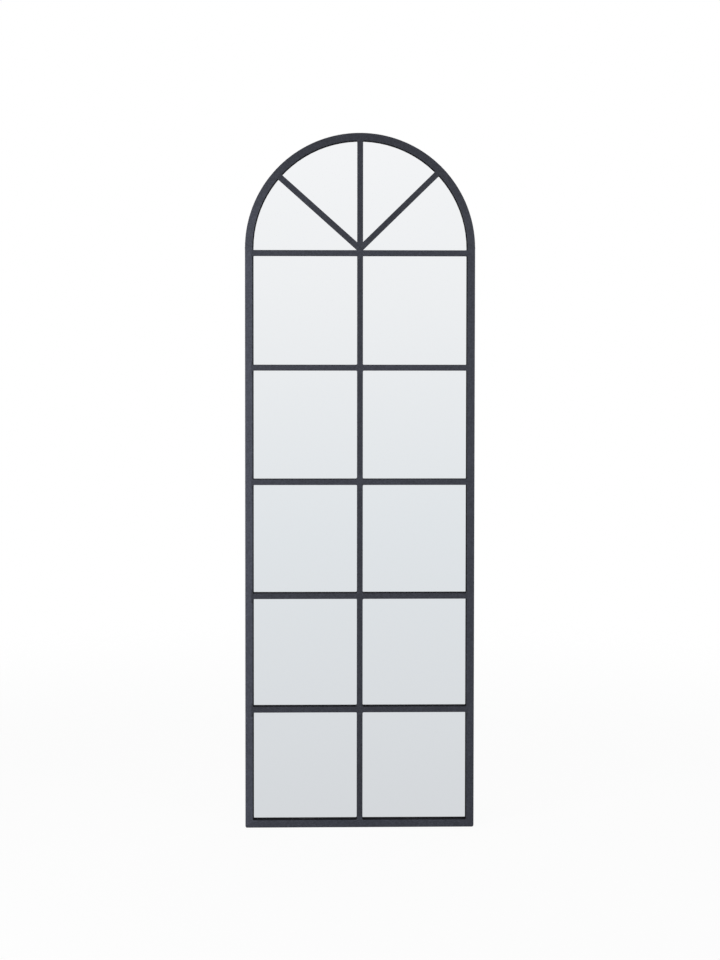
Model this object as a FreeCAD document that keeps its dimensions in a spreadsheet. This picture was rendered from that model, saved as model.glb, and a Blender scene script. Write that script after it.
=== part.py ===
"""Arched window mirror, for hanging on a wall.

A welded frame of square steel tube, arched at the top, carries a grid of slimmer tube bars flush with its
front. One sheet of mirror glass lies behind the bars, with a fibreboard back held by turn buttons. Two D-ring
hangers and two rubber bumpers are on the back of the uprights.

Millimetres and degrees. X runs across, -Y faces the viewer, +Y faces the wall and Z is up. The origin is the
middle of the bottom rail's underside, halfway through the depth of the frame tube.
"""
import FreeCAD, Part
import math
import os
import re
from collections import namedtuple

import Sketcher

# Driving dimensions: name, value, what it measures.
DRIVING_SIZES = (
    ("overall_width", 600.0, "outside of the frame, and so the outer diameter of the arch"),
    ("overall_height", 1820.0, "underside of the bottom rail to the crown of the arch"),
    ("tube_face", 20.0, "frame tube, as wide as it looks from the front"),
    ("tube_depth", 20.0, "frame tube, front to back"),
    ("tube_wall", 1.5, "frame tube's wall"),
    ("tube_edge_radius", 2.0, "frame tube's rolled long edges"),
    ("corner_radius", 6.0, "the two bottom corners, ground round after welding"),
    ("corner_weld_fill", 8.0, "how far along each mitred end the weld closes the tube"),
    ("bar_face", 15.0, "glazing bar, as wide as it looks from the front"),
    ("bar_depth", 12.0, "glazing bar, front to back"),
    ("bar_wall", 1.0, "glazing bar's wall"),
    ("bar_edge_radius", 1.2, "glazing bar's rolled long edges"),
    ("transom_drop", 12.0, "springing line of the arch down to the transom's centre line"),
    ("pane_rows", 5, "rows of panes below the transom"),
    ("left_spoke_angle", 41.7, "left spoke above the horizontal, in degrees"),
    ("right_spoke_angle", 44.3, "right spoke above the horizontal, in degrees"),
    ("spoke_hub_rise", 3.5, "top of the transom up to the point where the spokes' centre lines meet"),
    ("tape_width", 10.0, "foam glazing tape"),
    ("tape_thickness", 1.0, "foam glazing tape, pressed"),
    ("tape_end_gap", 6.0, "bare length at each end of a tape strip"),
    ("glass_thickness", 4.0, "silvered glass"),
    ("glass_clearance", 1.5, "glass edge to the frame tube, which a foam strip fills"),
    ("glass_arris", 0.5, "ground edge of the glass"),
    ("block_length", 40.0, "setting block under the glass"),
    ("board_clearance", 2.0, "backing board's edge to the frame tube"),
    ("screw_shank_radius", 1.9, "sheet-metal screw's shank"),
    ("screw_shank_length", 9.5, "from under the head to the tip"),
    ("screw_tip_length", 2.5, "the pointed end, within the shank's length"),
    ("screw_head_radius", 3.75, "pan head"),
    ("screw_head_height", 2.4, "pan head, with its dome"),
    ("screw_head_rim", 0.8, "straight rim of the pan head, under its dome"),
    ("recess_reach", 1.9, "cross recess, centre to the end of an arm"),
    ("recess_arm", 1.0, "cross recess, width of an arm"),
    ("recess_depth", 1.4, "cross recess"),
    ("pilot_clearance", 0.05, "screw shank to its hole, all round"),
    ("button_width", 12.0, "turn button, across its round ends"),
    ("button_thickness", 1.5, "turn button's sheet"),
    ("button_overlap", 12.0, "how far a turn button reaches over the board"),
    ("button_play", 0.1, "turn button to the tube behind it, and to the screw head"),
    ("button_edge_round", 0.3, "turn button's tumbled edges"),
    ("low_button_z", 150.0, "lowest turn button on each upright, above the bottom rail's underside"),
    ("high_button_drop", 250.0, "springing line down to the highest turn button on each upright"),
    ("arch_button_angle", 48.0, "turn buttons on the arch, in degrees above the horizontal"),
    ("ring_drop", 90.0, "springing line down to the hinge line of the D-rings"),
    ("ring_wire_radius", 1.5, "D-ring's wire"),
    ("ring_width", 17.0, "D-ring across its wire's centre line"),
    ("ring_side", 6.0, "hinge line down to where the D-ring's round end starts"),
    ("ring_bend_radius", 3.0, "bend at the D-ring's two corners, on the wire's centre line"),
    ("ring_play", 0.1, "D-ring's wire to the strap's loop, all round"),
    ("ring_rest_tilt", 5.0, "how far the hanging D-ring leans off its strap, in degrees"),
    ("strap_width", 10.0, "hanger strap"),
    ("strap_sheet", 1.2, "hanger strap's sheet, before it is folded double"),
    ("strap_tail", 36.0, "hinge line down to the strap's end"),
    ("strap_screw_drop", 20.5, "hinge line down to the strap's upper screw"),
    ("strap_screw_pitch", 10.0, "between the strap's two screws"),
    ("bumper_radius", 7.0, "rubber bumper"),
    ("bumper_height", 6.0, "rubber bumper"),
    ("bumper_round", 1.5, "rubber bumper's outer edge"),
    ("bumper_z", 40.0, "rubber bumper's centre above the bottom rail's underside"),
)

# Sizes that follow from the driving ones: name, formula.
DERIVED_SIZES = (
    ("arch_outer", "overall_width / 2"),
    ("arch_inner", "arch_outer - tube_face"),
    ("tube_line", "arch_outer - tube_face / 2"),
    ("spring_z", "overall_height - arch_outer"),
    ("tube_back_y", "tube_depth / 2"),
    ("bar_y", "bar_depth / 2 - tube_depth / 2"),
    ("tape_front_y", "bar_depth - tube_depth / 2"),
    ("glass_front_y", "tape_front_y + tape_thickness"),
    ("board_front_y", "glass_front_y + glass_thickness"),
    ("board_thickness", "tube_back_y - board_front_y"),
    ("transom_z", "spring_z - transom_drop"),
    ("transom_top_z", "transom_z + bar_face / 2"),
    ("pane_stack", "transom_z - bar_face / 2 - tube_face - (pane_rows - 1) * bar_face"),
    ("pane_height", "pane_stack / pane_rows"),
    ("bar_pitch", "pane_height + bar_face"),
    ("hub_z", "transom_top_z + spoke_hub_rise"),
    ("spoke_tape_start", "2 * tape_width + tape_end_gap"),
    ("glass_half_width", "arch_inner - glass_clearance"),
    ("board_half_width", "arch_inner - board_clearance"),
    ("pilot_radius", "screw_shank_radius + pilot_clearance"),
    ("dome_height", "screw_head_height - screw_head_rim"),
    ("dome_radius", "(dome_height ^ 2 + screw_head_radius ^ 2) / (2 * dome_height)"),
    ("button_reach", "tube_face / 2 + board_clearance + button_overlap"),
    ("button_front_y", "tube_back_y + button_play"),
    ("button_screw_y", "button_front_y + button_thickness + button_play"),
    ("high_button_z", "spring_z - high_button_drop"),
    ("middle_button_z", "(low_button_z + high_button_z) / 2"),
    ("ring_z", "spring_z - ring_drop"),
    ("loop_bore", "ring_wire_radius + ring_play"),
    ("loop_radius", "loop_bore + strap_sheet"),
    ("ring_line_y", "tube_back_y + loop_radius"),
    ("strap_screw_y", "tube_back_y + 2 * strap_sheet"),
    ("upper_strap_screw_z", "ring_z - strap_screw_drop"),
    ("lower_strap_screw_z", "upper_strap_screw_z - strap_screw_pitch"),
)

UP = FreeCAD.Vector(0, 0, 1)
ACROSS = FreeCAD.Vector(1, 0, 0)
TO_WALL = FreeCAD.Vector(0, 1, 0)
TO_VIEWER = FreeCAD.Vector(0, -1, 0)
LEFT, RIGHT = -1, 1
SIDES = (("left", LEFT), ("right", RIGHT))
# Sketcher's names for the points of an edge.
START, END, CENTRE = 1, 2, 3
ORIGIN = (-1, 1)
ALIASES = {entry[0] for entry in DRIVING_SIZES + DERIVED_SIZES}

doc = FreeCAD.newDocument("ArchedWindowMirror")


# ---------------------------------------------------------------- the sheet of sizes

def fill_sheet():
    """Write the spreadsheet that every piece takes its sizes from."""
    sheet = doc.addObject("Spreadsheet::Sheet", "Sizes")
    for row, (alias, number, meaning) in enumerate(DRIVING_SIZES, 1):
        sheet.set(f"A{row}", alias)
        sheet.set(f"B{row}", str(number))
        sheet.setAlias(f"B{row}", alias)
        sheet.set(f"C{row}", meaning)
    for row, (alias, formula) in enumerate(DERIVED_SIZES, len(DRIVING_SIZES) + 1):
        sheet.set(f"A{row}", alias)
        sheet.set(f"B{row}", f"={formula}")
        sheet.setAlias(f"B{row}", alias)
    doc.recompute()
    return sheet


sizes = fill_sheet()


def linked(formula):
    """A formula on the sheet's names, as an object outside the sheet writes it."""
    def owned(match):
        word = match.group()
        return f"Sizes.{word}" if word in ALIASES else word
    return re.sub(r"[a-z_]+", owned, formula)


def number(formula):
    """What a formula on the sheet's names comes to."""
    return float(sizes.evalExpression(linked(formula)))


def bind(feature, name, formula):
    """Tie one property of a feature to a formula on the sheet's names."""
    feature.setExpression(name, linked(formula))


def place(piece, x="0", y="0", z="0", axis=None, turn="0"):
    """Tie a piece's place to the sheet, and its turn about an axis."""
    if axis is not None:
        piece.Placement = FreeCAD.Placement(FreeCAD.Vector(), FreeCAD.Rotation(axis, number(turn)))
        bind(piece, "Placement.Rotation.Angle", turn)
    bind(piece, "Placement.Base.x", x)
    bind(piece, "Placement.Base.y", y)
    bind(piece, "Placement.Base.z", z)


# ---------------------------------------------------------------- sketches

# A corner of an outline, in formulas. With a centre, an arc about it leads on to the next corner.
Corner = namedtuple("Corner", "x y centre clockwise", defaults=(None, False))


def new_body(label):
    """An empty body, named for its piece."""
    body = doc.addObject("PartDesign::Body", label)
    body.Label = label
    return body


def new_sketch(body, plane_role, offset=None):
    """A sketch on one of the body's own planes, or moved along that plane's normal by a formula."""
    sketch = body.newObject("Sketcher::SketchObject", f"{body.Name}_sketch")
    plane = [feature for feature in body.Origin.OriginFeatures if feature.Role == plane_role][0]
    sketch.AttachmentSupport = [(plane, "")]
    sketch.MapMode = "FlatFace"
    if offset is not None:
        bind(sketch, "AttachmentOffset.Base.z", offset)
    return sketch


def point(x, y):
    """A point of a sketch, from two formulas."""
    return FreeCAD.Vector(number(x), number(y), 0)


def constrain(sketch, kind, where, formula):
    """Add one constraint with a size, tied to a formula."""
    index = sketch.addConstraint(Sketcher.Constraint(kind, *where, number(formula)))
    bind(sketch, f"Constraints[{index}]", formula)


def fix_point(sketch, edge, end, x, y):
    """Tie one point of a sketch to the origin by two formulas."""
    constrain(sketch, "DistanceX", (*ORIGIN, edge, end), x)
    constrain(sketch, "DistanceY", (*ORIGIN, edge, end), y)


def arc_about(centre, start, end):
    """The anticlockwise arc about a centre from one point to another."""
    first = math.atan2(start.y - centre.y, start.x - centre.x)
    last = math.atan2(end.y - centre.y, end.x - centre.x)
    if last <= first:
        last += 2 * math.pi
    circle = Part.Circle(centre, UP, start.distanceToPoint(centre))
    return Part.ArcOfCircle(circle, first, last)


def draw_outline(sketch, corners):
    """A closed outline of straight sides and arcs through its corners, every one tied to the sheet."""
    ends = [point(corner.x, corner.y) for corner in corners]
    edges = []
    for index, corner in enumerate(corners):
        start, end = ends[index], ends[(index + 1) % len(ends)]
        if corner.centre is None:
            edges.append((sketch.addGeometry(Part.LineSegment(start, end)), START, END))
            continue
        centre = point(*corner.centre)
        if corner.clockwise:
            edges.append((sketch.addGeometry(arc_about(centre, end, start)), END, START))
        else:
            edges.append((sketch.addGeometry(arc_about(centre, start, end)), START, END))
        # Both ends are fixed, so one coordinate of the centre settles the arc.
        across = abs(end.x - start.x) > abs(end.y - start.y)
        kind, formula = ("DistanceY", corner.centre[1]) if across else ("DistanceX", corner.centre[0])
        constrain(sketch, kind, (*ORIGIN, edges[-1][0], CENTRE), formula)
    for index, corner in enumerate(corners):
        edge, first, last = edges[index]
        next_edge, next_first, _next_last = edges[(index + 1) % len(edges)]
        sketch.addConstraint(Sketcher.Constraint("Coincident", edge, last, next_edge, next_first))
        fix_point(sketch, edge, first, corner.x, corner.y)


def draw_rectangle(sketch, width, height):
    """A rectangle about the sketch's origin."""
    half_width, half_height = f"({width}) / 2", f"({height}) / 2"
    draw_outline(sketch, (
        Corner(f"-{half_width}", f"-{half_height}"),
        Corner(half_width, f"-{half_height}"),
        Corner(half_width, half_height),
        Corner(f"-{half_width}", half_height),
    ))


def draw_circle(sketch, x, y, radius):
    """A circle about a point."""
    edge = sketch.addGeometry(Part.Circle(point(x, y), UP, number(radius)))
    fix_point(sketch, edge, CENTRE, x, y)
    constrain(sketch, "Radius", (edge,), radius)


def draw_arch(sketch, half_width, foot):
    """A flat foot, two upright sides and a half-round head on the frame's springing line."""
    draw_outline(sketch, (
        Corner(f"-{half_width}", foot),
        Corner(half_width, foot),
        Corner(half_width, "spring_z", centre=("0", "spring_z")),
        Corner(f"-{half_width}", "spring_z"),
    ))


# ---------------------------------------------------------------- features

def pad(body, sketch, length, midplane=False, backwards=False):
    """Thicken a sketch into a solid."""
    feature = body.newObject("PartDesign::Pad", f"{body.Name}_pad")
    feature.Profile = sketch
    bind(feature, "Length", length)
    feature.Midplane = midplane
    feature.Reversed = backwards
    doc.recompute()


def turn(body, sketch, angle, backwards=False):
    """Turn a sketch into a solid about its own upright axis."""
    feature = body.newObject("PartDesign::Revolution", f"{body.Name}_turned")
    feature.Profile = sketch
    feature.ReferenceAxis = (sketch, ["V_Axis"])
    feature.Angle = angle
    feature.Reversed = backwards
    doc.recompute()


def cut(body, kind, sketch, formulas=None, **settings):
    """Add a pocket or groove, and make sure that it took something away."""
    before = body.Shape.Volume
    feature = body.newObject(kind, f"{body.Name}_cut")
    feature.Profile = sketch
    for name, setting in settings.items():
        setattr(feature, name, setting)
    for name, formula in (formulas or {}).items():
        bind(feature, name, formula)
    doc.recompute()
    if body.Shape.Volume >= before:
        raise RuntimeError(f"{feature.Name} takes nothing off {body.Label}")


def pocket_through(body, sketch, backwards=False, midplane=False):
    """Cut a sketch right through a body, on one side of the sketch or on both."""
    cut(body, "PartDesign::Pocket", sketch, Type="ThroughAll", Reversed=backwards, Midplane=midplane)


def dress_edges(body, kind, size_name, formula, wanted):
    """Fillet or chamfer the edges that a test picks on the body's newest feature."""
    base = body.Tip
    names = [f"Edge{index}" for index, edge in enumerate(base.Shape.Edges, 1) if wanted(edge)]
    feature = body.newObject(kind, f"{body.Name}_dressed")
    feature.Base = (base, names)
    bind(feature, size_name, formula)
    doc.recompute()


def is_upright(edge):
    """Whether an edge is straight and lies along Z."""
    return abs(edge.tangentAt(edge.FirstParameter).z) > 0.999 and edge.Curve.TypeId == "Part::GeomLine"


def is_round(edge):
    """Whether an edge is part of a circle."""
    return edge.Curve.TypeId == "Part::GeomCircle"


def lies_flat(edge):
    """Whether an edge stays at one depth, as a plate's outlines do."""
    return edge.BoundBox.YLength < 1e-6


# ---------------------------------------------------------------- tube and strip

def tube_stock(label, stock, length, closed="0", open_top=True):
    """A length of the frame's "tube" or the grid's "bar", along Z, with its walls closed over at the ends."""
    body = new_body(label)
    face, depth, wall = f"{stock}_face", f"{stock}_depth", f"{stock}_wall"
    outside = new_sketch(body, "XY_Plane")
    draw_rectangle(outside, face, depth)
    pad(body, outside, length)
    dress_edges(body, "PartDesign::Fillet", "Radius", f"{stock}_edge_radius", is_upright)
    inside = new_sketch(body, "XY_Plane", closed)
    draw_rectangle(inside, f"{face} - 2 * {wall}", f"{depth} - 2 * {wall}")
    if open_top:
        pocket_through(body, inside, backwards=True)
    else:
        hollow = {"Length": f"{length} - 2 * {closed}"}
        cut(body, "PartDesign::Pocket", inside, formulas=hollow, Reversed=True)
    return body


def strip_stock(label, length, start="0"):
    """A length of foam tape along Z, its front face on the bars' back."""
    body = new_body(label)
    section = new_sketch(body, "XY_Plane", start)
    draw_outline(section, (
        Corner("-tape_width / 2", "tape_front_y"),
        Corner("tape_width / 2", "tape_front_y"),
        Corner("tape_width / 2", "tape_front_y + tape_thickness"),
        Corner("-tape_width / 2", "tape_front_y + tape_thickness"),
    ))
    pad(body, section, length)
    return body


def mitre(body, end, inwards):
    """Cut a tube's end at 45 degrees. Its outer face is at local -X; inwards is + or -, up or down from the end."""
    waste = new_sketch(body, "XZ_Plane")
    draw_outline(waste, (
        Corner("-tube_face / 2", end),
        Corner("tube_face / 2", end),
        Corner("tube_face / 2", f"{end} {inwards} tube_face"),
    ))
    pocket_through(body, waste, midplane=True)


def grind_corner(body, end, inwards):
    """Take a mitred end's sharp outer corner back to the finished frame's round corner."""
    across, along = "corner_radius - tube_face / 2", f"{end} {inwards} corner_radius"
    waste = new_sketch(body, "XZ_Plane")
    draw_outline(waste, (
        Corner("-tube_face / 2", end),
        Corner(across, end, centre=(across, along), clockwise=inwards == "+"),
        Corner("-tube_face / 2", along),
    ))
    pocket_through(body, waste, midplane=True)


def drill_back(body, centres, turned_round=False):
    """Pilot holes through a tube's back wall, which is its front wall if the tube is turned round later."""
    holes = new_sketch(body, "XZ_Plane")
    for x, z in centres:
        draw_circle(holes, x, z, "pilot_radius")
    pocket_through(body, holes, backwards=turned_round)


# ---------------------------------------------------------------- frame

STILE_SCREW_HEIGHTS = (
    "low_button_z", "middle_button_z", "high_button_z", "upper_strap_screw_z", "lower_strap_screw_z",
)


def make_stile(side_name, side):
    """An upright: mitred and ground at the foot, drilled behind for its screws."""
    body = tube_stock(f"{side_name}_stile", "tube", "spring_z", closed="corner_weld_fill")
    mitre(body, "0", "+")
    grind_corner(body, "0", "+")
    drill_back(body, [("0", height) for height in STILE_SCREW_HEIGHTS], turned_round=side == RIGHT)
    if side == RIGHT:
        place(body, x="tube_line", axis=UP, turn="180")
    else:
        place(body, x="-tube_line")
    return body


def make_bottom_rail():
    """The rail along the bottom, mitred at both ends. It is made upright and laid on its side."""
    body = tube_stock("bottom_rail", "tube", "overall_width", closed="corner_weld_fill", open_top=False)
    for end, inwards in (("0", "+"), ("overall_width", "-")):
        mitre(body, end, inwards)
        grind_corner(body, end, inwards)
    drill_back(body, [("0", "overall_width / 2")])
    place(body, x="arch_outer", z="tube_face / 2", axis=TO_VIEWER, turn="90")
    return body


def make_arch_tube():
    """The half-round head: the tube's section turned about the centre of the arch."""
    body = new_body("arch_tube")
    outside = new_sketch(body, "XY_Plane")
    draw_outline(outside, (
        Corner("arch_inner", "-tube_depth / 2"),
        Corner("arch_outer", "-tube_depth / 2"),
        Corner("arch_outer", "tube_depth / 2"),
        Corner("arch_inner", "tube_depth / 2"),
    ))
    turn(body, outside, 180, backwards=True)
    dress_edges(body, "PartDesign::Fillet", "Radius", "tube_edge_radius", is_round)
    inside = new_sketch(body, "XY_Plane")
    draw_outline(inside, (
        Corner("arch_inner + tube_wall", "tube_wall - tube_depth / 2"),
        Corner("arch_outer - tube_wall", "tube_wall - tube_depth / 2"),
        Corner("arch_outer - tube_wall", "tube_depth / 2 - tube_wall"),
        Corner("arch_inner + tube_wall", "tube_depth / 2 - tube_wall"),
    ))
    axis = (inside, ["V_Axis"])
    cut(body, "PartDesign::Groove", inside, ReferenceAxis=axis, Angle=180, Reversed=True)
    across, rise = "tube_line * cos(arch_button_angle)", "tube_line * sin(arch_button_angle)"
    drill_back(body, [(f"-{across}", rise), (across, rise)])
    place(body, z="spring_z")
    return body


# ---------------------------------------------------------------- grid of bars

def make_cross_bar(label, z):
    """A glazing bar from one upright to the other. It is made upright and laid on its side."""
    body = tube_stock(label, "bar", "2 * arch_inner")
    place(body, x="arch_inner", y="bar_y", z=z, axis=TO_VIEWER, turn="90")
    return body


def make_mullion(row):
    """A short upright bar between two cross bars, in one row of panes."""
    body = tube_stock(f"mullion_{row + 1}", "bar", "pane_height")
    place(body, y="bar_y", z=f"transom_z - bar_face / 2 - {row} * bar_pitch - pane_height")
    return body


def make_arch_space():
    """The inside of the arch, which shapes the outer ends of the spokes."""
    space = doc.addObject("Part::Cylinder", "arch_space")
    bind(space, "Radius", "arch_inner")
    bind(space, "Height", "2 * tube_depth")
    place(space, y="tube_depth", z="spring_z", axis=ACROSS, turn="90")
    return space


def make_hub_space():
    """The room that the centre spoke and the transom take, which shapes the side spokes' inner ends."""
    upright = doc.addObject("Part::Box", "centre_spoke_space")
    bind(upright, "Length", "bar_face")
    bind(upright, "Width", "2 * tube_depth")
    bind(upright, "Height", "arch_inner")
    place(upright, x="-bar_face / 2", y="-tube_depth", z="transom_z")
    level = doc.addObject("Part::Box", "transom_space")
    bind(level, "Length", "2 * arch_inner")
    bind(level, "Width", "2 * tube_depth")
    bind(level, "Height", "bar_face")
    place(level, x="-arch_inner", y="-tube_depth", z="transom_top_z - bar_face")
    hub = doc.addObject("Part::MultiFuse", "hub_space")
    hub.Shapes = [upright, level]
    return hub


def make_centre_spoke(arch_space):
    """The upright spoke, from the transom to the crown of the arch."""
    blank = tube_stock("centre_spoke_blank", "bar", "arch_inner + transom_drop")
    place(blank, y="bar_y", z="transom_top_z")
    spoke = doc.addObject("Part::MultiCommon", "centre_spoke")
    spoke.Shapes = [blank, arch_space]
    return spoke


def make_side_spoke(side_name, side, arch_space, hub_space):
    """A slanted spoke, from the hub to the arch, shaped to fit at both ends."""
    blank = tube_stock(f"{side_name}_spoke_blank", "bar", "arch_inner + transom_drop")
    axis = TO_WALL if side == RIGHT else TO_VIEWER
    place(blank, y="bar_y", z="hub_z", axis=axis, turn=f"90 - {side_name}_spoke_angle")
    fitted = doc.addObject("Part::MultiCommon", f"{side_name}_spoke_in_arch")
    fitted.Shapes = [blank, arch_space]
    spoke = doc.addObject("Part::Cut", f"{side_name}_spoke")
    spoke.Base = fitted
    spoke.Tool = hub_space
    return spoke


# ---------------------------------------------------------------- glass, tape, blocks and board

def make_mirror_glass():
    """The one sheet of silvered glass, with ground edges."""
    body = new_body("mirror_glass")
    outline = new_sketch(body, "XZ_Plane")
    draw_arch(outline, "glass_half_width", "tube_face + glass_clearance")
    pad(body, outline, "glass_thickness", backwards=True)
    dress_edges(body, "PartDesign::Chamfer", "Size", "glass_arris", lies_flat)
    place(body, y="glass_front_y")
    return body


def make_edge_seal():
    """The foam strip round the glass's edge, which leaves room for the setting blocks."""
    ring = new_body("edge_seal_ring")
    outline = new_sketch(ring, "XZ_Plane")
    draw_arch(outline, "arch_inner", "tube_face")
    pad(ring, outline, "glass_thickness", backwards=True)
    glass = new_sketch(ring, "XZ_Plane")
    draw_arch(glass, "glass_half_width", "tube_face + glass_clearance")
    pocket_through(ring, glass)
    foot = new_sketch(ring, "XZ_Plane")
    half = "(arch_inner + block_length) / 2"
    draw_outline(foot, (
        Corner(f"-{half}", "tube_face"),
        Corner(half, "tube_face"),
        Corner(half, "tube_face + glass_clearance"),
        Corner(f"-{half}", "tube_face + glass_clearance"),
    ))
    pocket_through(ring, foot)
    place(ring, y="glass_front_y")
    strip = doc.addObject("Part::Box", "edge_seal_foot")
    bind(strip, "Length", "arch_inner - block_length")
    bind(strip, "Width", "glass_thickness")
    bind(strip, "Height", "glass_clearance")
    place(strip, x="(block_length - arch_inner) / 2", y="glass_front_y", z="tube_face")
    return group("edge_seal", [ring, strip])


def make_backing_board():
    """The fibreboard that closes the back, flush with the tube."""
    body = new_body("backing_board")
    outline = new_sketch(body, "XZ_Plane")
    draw_arch(outline, "board_half_width", "tube_face + board_clearance")
    pad(body, outline, "board_thickness", backwards=True)
    place(body, y="board_front_y")
    return body


def make_setting_block(side_name, side):
    """A rubber block that carries the glass on the bottom rail."""
    block = doc.addObject("Part::Box", f"setting_block_{side_name}")
    bind(block, "Length", "block_length")
    bind(block, "Width", "glass_thickness")
    bind(block, "Height", "glass_clearance")
    place(block, x=f"{side} * arch_inner / 2 - block_length / 2", y="glass_front_y", z="tube_face")
    return block


def group(label, pieces):
    """Several separate solids under one name."""
    compound = doc.addObject("Part::Compound", label)
    compound.Links = pieces
    return compound


def make_cross_bar_tape(heights):
    """The tape behind the transom and the cross bars."""
    strips = []
    for index, height in enumerate(heights):
        strip = strip_stock(f"cross_bar_strip_{index}", "2 * (arch_inner - tape_end_gap)")
        place(strip, x="arch_inner - tape_end_gap", z=height, axis=TO_VIEWER, turn="90")
        strips.append(strip)
    return group("cross_bar_tape", strips)


def make_mullion_tape(rows):
    """The tape behind the short upright bars."""
    strips = []
    for row in range(rows):
        strip = strip_stock(f"mullion_strip_{row}", "pane_height - 2 * tape_end_gap")
        top = f"transom_z - bar_face / 2 - {row} * bar_pitch"
        place(strip, z=f"{top} - pane_height + tape_end_gap")
        strips.append(strip)
    return group("mullion_tape", strips)


def make_spoke_tape():
    """The tape behind the three spokes."""
    centre = strip_stock("centre_spoke_strip", "spring_z + arch_inner - transom_top_z - 2 * tape_end_gap")
    place(centre, z="transom_top_z + tape_end_gap")
    strips = [centre]
    for side_name, side in SIDES:
        length = "arch_inner - tape_end_gap - spoke_tape_start"
        strip = strip_stock(f"{side_name}_spoke_strip", length, start="spoke_tape_start")
        axis = TO_WALL if side == RIGHT else TO_VIEWER
        place(strip, z="hub_z", axis=axis, turn=f"90 - {side_name}_spoke_angle")
        strips.append(strip)
    return group("spoke_tape", strips)


# ---------------------------------------------------------------- screws and turn buttons

# Where the turn buttons are: name, x, z, and the turn that points each one at the board.
ARCH_ACROSS = "tube_line * cos(arch_button_angle)"
ARCH_HEIGHT = "spring_z + tube_line * sin(arch_button_angle)"
BUTTON_PLACES = (
    ("left_low", "-tube_line", "low_button_z", TO_WALL, "0"),
    ("left_middle", "-tube_line", "middle_button_z", TO_WALL, "0"),
    ("left_high", "-tube_line", "high_button_z", TO_WALL, "0"),
    ("right_low", "tube_line", "low_button_z", TO_WALL, "180"),
    ("right_middle", "tube_line", "middle_button_z", TO_WALL, "180"),
    ("right_high", "tube_line", "high_button_z", TO_WALL, "180"),
    ("arch_left", f"-{ARCH_ACROSS}", ARCH_HEIGHT, TO_WALL, "arch_button_angle"),
    ("arch_right", ARCH_ACROSS, ARCH_HEIGHT, TO_WALL, "180 - arch_button_angle"),
    ("foot", "0", "tube_face / 2", TO_VIEWER, "90"),
)


def make_screw():
    """A pan-head screw with a cross recess, pointing at the viewer, its head's underside at the origin."""
    body = new_body("pan_head_screw")
    profile = new_sketch(body, "XY_Plane")
    dome_centre = ("0", "screw_head_height - dome_radius")
    draw_outline(profile, (
        Corner("0", "-screw_shank_length"),
        Corner("screw_shank_radius", "screw_tip_length - screw_shank_length"),
        Corner("screw_shank_radius", "0"),
        Corner("screw_head_radius", "0"),
        Corner("screw_head_radius", "screw_head_rim", centre=dome_centre),
        Corner("0", "screw_head_height"),
    ))
    turn(body, profile, 360)
    recess = new_sketch(body, "XZ_Plane", "-screw_head_height")
    near, far = "recess_arm / 2", "recess_reach"
    draw_outline(recess, (
        Corner(far, f"-{near}"), Corner(far, near), Corner(near, near),
        Corner(near, far), Corner(f"-{near}", far), Corner(f"-{near}", near),
        Corner(f"-{far}", near), Corner(f"-{far}", f"-{near}"), Corner(f"-{near}", f"-{near}"),
        Corner(f"-{near}", f"-{far}"), Corner(near, f"-{far}"), Corner(near, f"-{near}"),
    ))
    cut(body, "PartDesign::Pocket", recess, formulas={"Length": "recess_depth"}, Reversed=True)
    return body


def drive_screws(label, screw, places):
    """A set of the same screw at places given as x, y and z formulas."""
    copies = []
    for index, (x, y, z) in enumerate(places):
        copy = doc.addObject("App::Link", f"{label}_{index}")
        copy.LinkedObject = screw
        place(copy, x=x, y=y, z=z)
        copies.append(copy)
    return group(label, copies)


def make_turn_button(name, x, z, axis, angle):
    """A steel turn button, its pivot at its place and its long end pointing at the board."""
    body = new_body(f"turn_button_{name}")
    outline = new_sketch(body, "XZ_Plane")
    half, tip = "button_width / 2", "button_reach - button_width / 2"
    draw_outline(outline, (
        Corner("0", f"-{half}"),
        Corner(tip, f"-{half}", centre=(tip, "0")),
        Corner(tip, half),
        Corner("0", half, centre=("0", "0")),
    ))
    pad(body, outline, "button_thickness", backwards=True)
    dress_edges(body, "PartDesign::Fillet", "Radius", "button_edge_round", lies_flat)
    hole = new_sketch(body, "XZ_Plane")
    draw_circle(hole, "0", "0", "pilot_radius")
    pocket_through(body, hole)
    place(body, x=x, y="button_front_y", z=z, axis=axis, turn=angle)
    return body


# ---------------------------------------------------------------- hangers and bumpers

def make_hanger_strap(side_name, side):
    """A steel strap folded double round the D-ring's straight side, with two screw holes in its tail."""
    body = new_body(f"hanger_strap_{side_name}")
    profile = new_sketch(body, "YZ_Plane")
    doubled = "2 * strap_sheet"
    loop_meets_tail = f"-sqrt(loop_radius ^ 2 - (loop_radius - {doubled}) ^ 2)"
    draw_outline(profile, (
        Corner("0", "0"),
        Corner("0", "-strap_tail"),
        Corner(doubled, "-strap_tail"),
        Corner(doubled, loop_meets_tail, centre=("loop_radius", "0")),
    ))
    draw_circle(profile, "loop_radius", "0", "loop_bore")
    pad(body, profile, "strap_width", midplane=True)
    holes = new_sketch(body, "XZ_Plane")
    for drop in ("strap_screw_drop", "strap_screw_drop + strap_screw_pitch"):
        draw_circle(holes, "0", f"-({drop})", "pilot_radius")
    pocket_through(body, holes)
    place(body, x=f"{side} * tube_line", y="tube_back_y", z="ring_z")
    return body


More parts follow.
